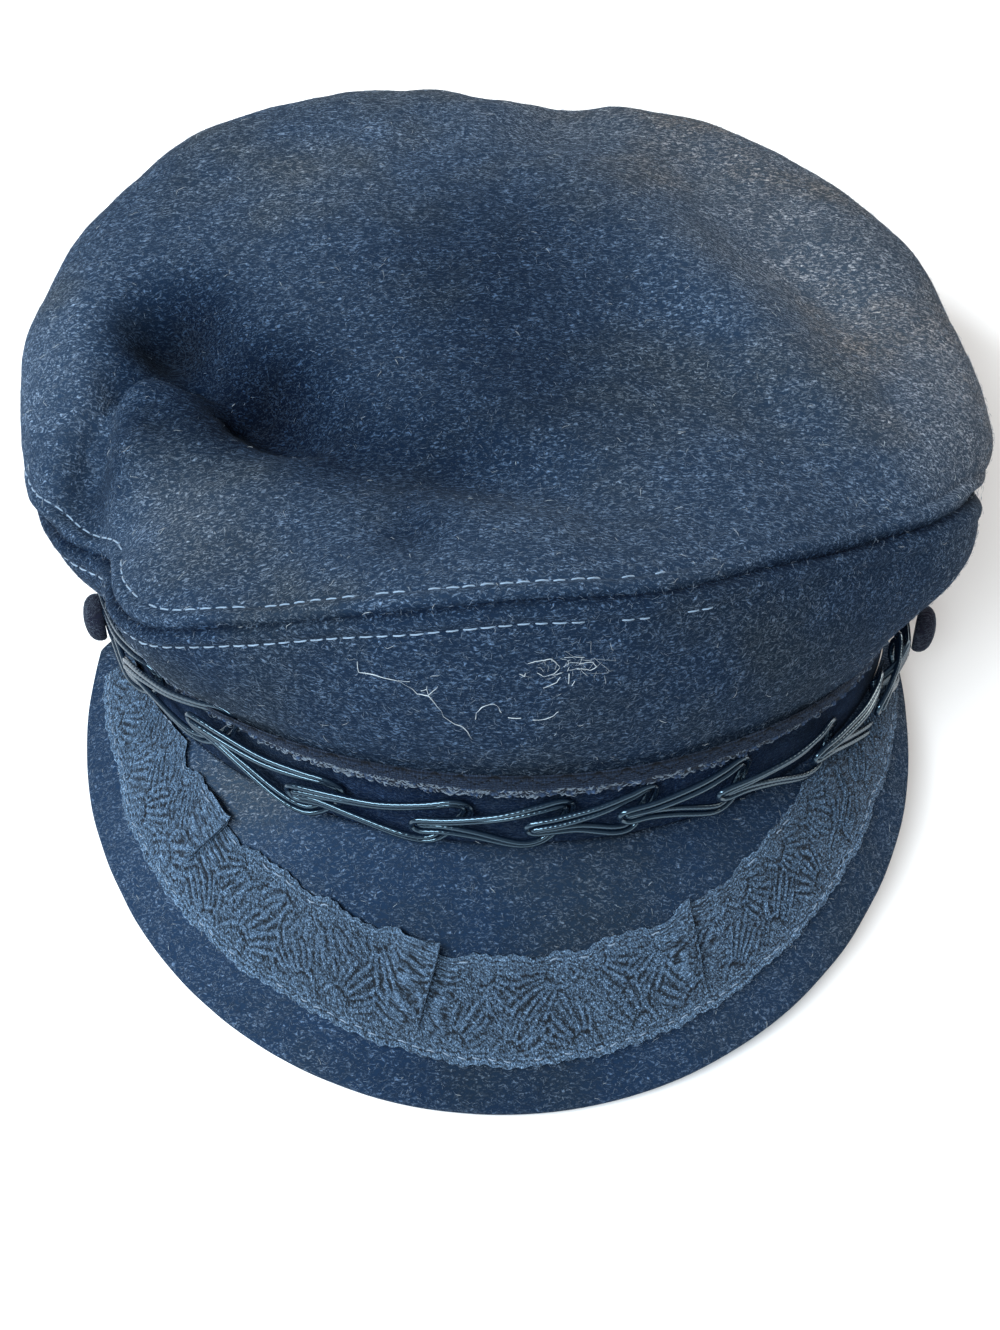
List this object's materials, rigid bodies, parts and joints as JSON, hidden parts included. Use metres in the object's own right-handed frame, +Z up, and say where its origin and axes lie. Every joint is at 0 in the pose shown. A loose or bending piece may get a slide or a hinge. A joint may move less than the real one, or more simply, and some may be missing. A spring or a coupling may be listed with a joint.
{
  "type": "greek fisherman cap",
  "caption": "Soft wool cap with a tall slumped crown, a head band, a sloped peak with a tucked woven ribbon, and a looped cord braid across the front.",
  "frame": {"origin": "bottom centre of the cap's box, on the surface that the cap lies on", "axes": "+Z up, -Y towards the front of the peak, +X towards the wearer's left"},
  "size_m": [0.2384, 0.2752, 0.1111],
  "materials": {
    "crown_wool": "brushed melton wool, heathered navy",
    "band_wool": "melton wool, dark navy",
    "peak_wool": "melton wool over board, navy",
    "woven_trim": "ribbed braid with a looped edge",
    "woven_ribbon": "woven ribbon with leaf sprays",
    "satin_cord": "satin soutache cord",
    "button_cloth": "covered button"
  },
  "bodies": {
    "root": {"crown_top": "crown_wool", "crown_side": "crown_wool", "band": "band_wool", "band_trim": "woven_trim", "peak": "peak_wool", "peak_ribbon": "woven_ribbon", "soutache_braid": "satin_cord", "side_button_left": "button_cloth", "side_button_right": "button_cloth"}
  },
  "joints": []
}
